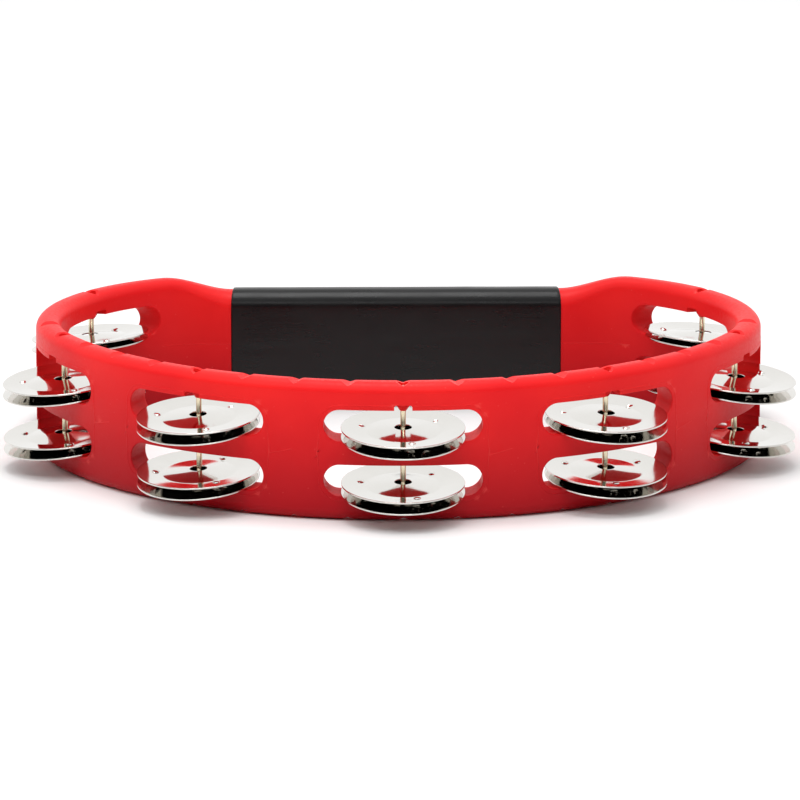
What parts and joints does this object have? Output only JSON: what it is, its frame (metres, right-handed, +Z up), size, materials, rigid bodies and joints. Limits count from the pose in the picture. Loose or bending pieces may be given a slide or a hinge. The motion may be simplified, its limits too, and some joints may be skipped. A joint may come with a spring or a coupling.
{
  "type": "hand tambourine",
  "caption": "Headless hand tambourine: an oval moulded frame with a sleeved grip at the back and two rows of slots with domed jingle pairs that slide on upright nails.",
  "frame": {"origin": "middle of the whole object's footprint, on the surface that the frame's lower rim rests on", "axes": "+Z up along the nails; +X to the right along the frame's width, seen from the jingle side; +Y from the front jingles to the grip"},
  "size_m": [0.2888, 0.206, 0.05],
  "materials": {
    "frame_plastic": "satin red moulded plastic with softly rounded rims",
    "grip_rubber": "satin black sleeve",
    "jingle_steel": "bright nickel plate",
    "nail_steel": "bright, pale brass plate"
  },
  "bodies": {
    "root": {"frame": "frame_plastic", "grip_sleeve": "grip_rubber", "nail_left_3": "nail_steel", "nail_left_2": "nail_steel", "nail_left_1": "nail_steel", "nail_front": "nail_steel", "nail_right_1": "nail_steel", "nail_right_2": "nail_steel", "nail_right_3": "nail_steel"},
    "left_3_low_bottom": {"jingle_left_3_low_bottom": "jingle_steel"},
    "left_3_low_top": {"jingle_left_3_low_top": "jingle_steel"},
    "left_3_high_bottom": {"jingle_left_3_high_bottom": "jingle_steel"},
    "left_3_high_top": {"jingle_left_3_high_top": "jingle_steel"},
    "left_2_low_bottom": {"jingle_left_2_low_bottom": "jingle_steel"},
    "left_2_low_top": {"jingle_left_2_low_top": "jingle_steel"},
    "left_2_high_bottom": {"jingle_left_2_high_bottom": "jingle_steel"},
    "left_2_high_top": {"jingle_left_2_high_top": "jingle_steel"},
    "left_1_low_bottom": {"jingle_left_1_low_bottom": "jingle_steel"},
    "left_1_low_top": {"jingle_left_1_low_top": "jingle_steel"},
    "left_1_high_bottom": {"jingle_left_1_high_bottom": "jingle_steel"},
    "left_1_high_top": {"jingle_left_1_high_top": "jingle_steel"},
    "front_low_bottom": {"jingle_front_low_bottom": "jingle_steel"},
    "front_low_top": {"jingle_front_low_top": "jingle_steel"},
    "front_high_bottom": {"jingle_front_high_bottom": "jingle_steel"},
    "front_high_top": {"jingle_front_high_top": "jingle_steel"},
    "right_1_low_bottom": {"jingle_right_1_low_bottom": "jingle_steel"},
    "right_1_low_top": {"jingle_right_1_low_top": "jingle_steel"},
    "right_1_high_bottom": {"jingle_right_1_high_bottom": "jingle_steel"},
    "right_1_high_top": {"jingle_right_1_high_top": "jingle_steel"},
    "right_2_low_bottom": {"jingle_right_2_low_bottom": "jingle_steel"},
    "right_2_low_top": {"jingle_right_2_low_top": "jingle_steel"},
    "right_2_high_bottom": {"jingle_right_2_high_bottom": "jingle_steel"},
    "right_2_high_top": {"jingle_right_2_high_top": "jingle_steel"},
    "right_3_low_bottom": {"jingle_right_3_low_bottom": "jingle_steel"},
    "right_3_low_top": {"jingle_right_3_low_top": "jingle_steel"},
    "right_3_high_bottom": {"jingle_right_3_high_bottom": "jingle_steel"},
    "right_3_high_top": {"jingle_right_3_high_top": "jingle_steel"}
  },
  "joints": [
    {"name": "left_3_low_bottom_slide", "type": "slide", "parent": "root", "child": "left_3_low_bottom", "axis": [0, 0, 1], "range_m": [0, 0.0032]},
    {"name": "left_3_low_top_slide", "type": "slide", "parent": "left_3_low_bottom", "child": "left_3_low_top", "axis": [0, 0, 1], "range_m": [0, 0.0032]},
    {"name": "left_3_high_bottom_slide", "type": "slide", "parent": "root", "child": "left_3_high_bottom", "axis": [0, 0, 1], "range_m": [0, 0.0032]},
    {"name": "left_3_high_top_slide", "type": "slide", "parent": "left_3_high_bottom", "child": "left_3_high_top", "axis": [0, 0, 1], "range_m": [0, 0.0032]},
    {"name": "left_2_low_bottom_slide", "type": "slide", "parent": "root", "child": "left_2_low_bottom", "axis": [0, 0, 1], "range_m": [0, 0.0032]},
    {"name": "left_2_low_top_slide", "type": "slide", "parent": "left_2_low_bottom", "child": "left_2_low_top", "axis": [0, 0, 1], "range_m": [0, 0.0032]},
    {"name": "left_2_high_bottom_slide", "type": "slide", "parent": "root", "child": "left_2_high_bottom", "axis": [0, 0, 1], "range_m": [0, 0.0032]},
    {"name": "left_2_high_top_slide", "type": "slide", "parent": "left_2_high_bottom", "child": "left_2_high_top", "axis": [0, 0, 1], "range_m": [0, 0.0032]},
    {"name": "left_1_low_bottom_slide", "type": "slide", "parent": "root", "child": "left_1_low_bottom", "axis": [0, 0, 1], "range_m": [0, 0.0032]},
    {"name": "left_1_low_top_slide", "type": "slide", "parent": "left_1_low_bottom", "child": "left_1_low_top", "axis": [0, 0, 1], "range_m": [0, 0.0032]},
    {"name": "left_1_high_bottom_slide", "type": "slide", "parent": "root", "child": "left_1_high_bottom", "axis": [0, 0, 1], "range_m": [0, 0.0032]},
    {"name": "left_1_high_top_slide", "type": "slide", "parent": "left_1_high_bottom", "child": "left_1_high_top", "axis": [0, 0, 1], "range_m": [0, 0.0032]},
    {"name": "front_low_bottom_slide", "type": "slide", "parent": "root", "child": "front_low_bottom", "axis": [0, 0, 1], "range_m": [0, 0.0032]},
    {"name": "front_low_top_slide", "type": "slide", "parent": "front_low_bottom", "child": "front_low_top", "axis": [0, 0, 1], "range_m": [0, 0.0032]},
    {"name": "front_high_bottom_slide", "type": "slide", "parent": "root", "child": "front_high_bottom", "axis": [0, 0, 1], "range_m": [0, 0.0032]},
    {"name": "front_high_top_slide", "type": "slide", "parent": "front_high_bottom", "child": "front_high_top", "axis": [0, 0, 1], "range_m": [0, 0.0032]},
    {"name": "right_1_low_bottom_slide", "type": "slide", "parent": "root", "child": "right_1_low_bottom", "axis": [0, 0, 1], "range_m": [0, 0.0032]},
    {"name": "right_1_low_top_slide", "type": "slide", "parent": "right_1_low_bottom", "child": "right_1_low_top", "axis": [0, 0, 1], "range_m": [0, 0.0032]},
    {"name": "right_1_high_bottom_slide", "type": "slide", "parent": "root", "child": "right_1_high_bottom", "axis": [0, 0, 1], "range_m": [0, 0.0032]},
    {"name": "right_1_high_top_slide", "type": "slide", "parent": "right_1_high_bottom", "child": "right_1_high_top", "axis": [0, 0, 1], "range_m": [0, 0.0032]},
    {"name": "right_2_low_bottom_slide", "type": "slide", "parent": "root", "child": "right_2_low_bottom", "axis": [0, 0, 1], "range_m": [0, 0.0032]},
    {"name": "right_2_low_top_slide", "type": "slide", "parent": "right_2_low_bottom", "child": "right_2_low_top", "axis": [0, 0, 1], "range_m": [0, 0.0032]},
    {"name": "right_2_high_bottom_slide", "type": "slide", "parent": "root", "child": "right_2_high_bottom", "axis": [0, 0, 1], "range_m": [0, 0.0032]},
    {"name": "right_2_high_top_slide", "type": "slide", "parent": "right_2_high_bottom", "child": "right_2_high_top", "axis": [0, 0, 1], "range_m": [0, 0.0032]},
    {"name": "right_3_low_bottom_slide", "type": "slide", "parent": "root", "child": "right_3_low_bottom", "axis": [0, 0, 1], "range_m": [0, 0.0032]},
    {"name": "right_3_low_top_slide", "type": "slide", "parent": "right_3_low_bottom", "child": "right_3_low_top", "axis": [0, 0, 1], "range_m": [0, 0.0032]},
    {"name": "right_3_high_bottom_slide", "type": "slide", "parent": "root", "child": "right_3_high_bottom", "axis": [0, 0, 1], "range_m": [0, 0.0032]},
    {"name": "right_3_high_top_slide", "type": "slide", "parent": "right_3_high_bottom", "child": "right_3_high_top", "axis": [0, 0, 1], "range_m": [0, 0.0032]}
  ]
}
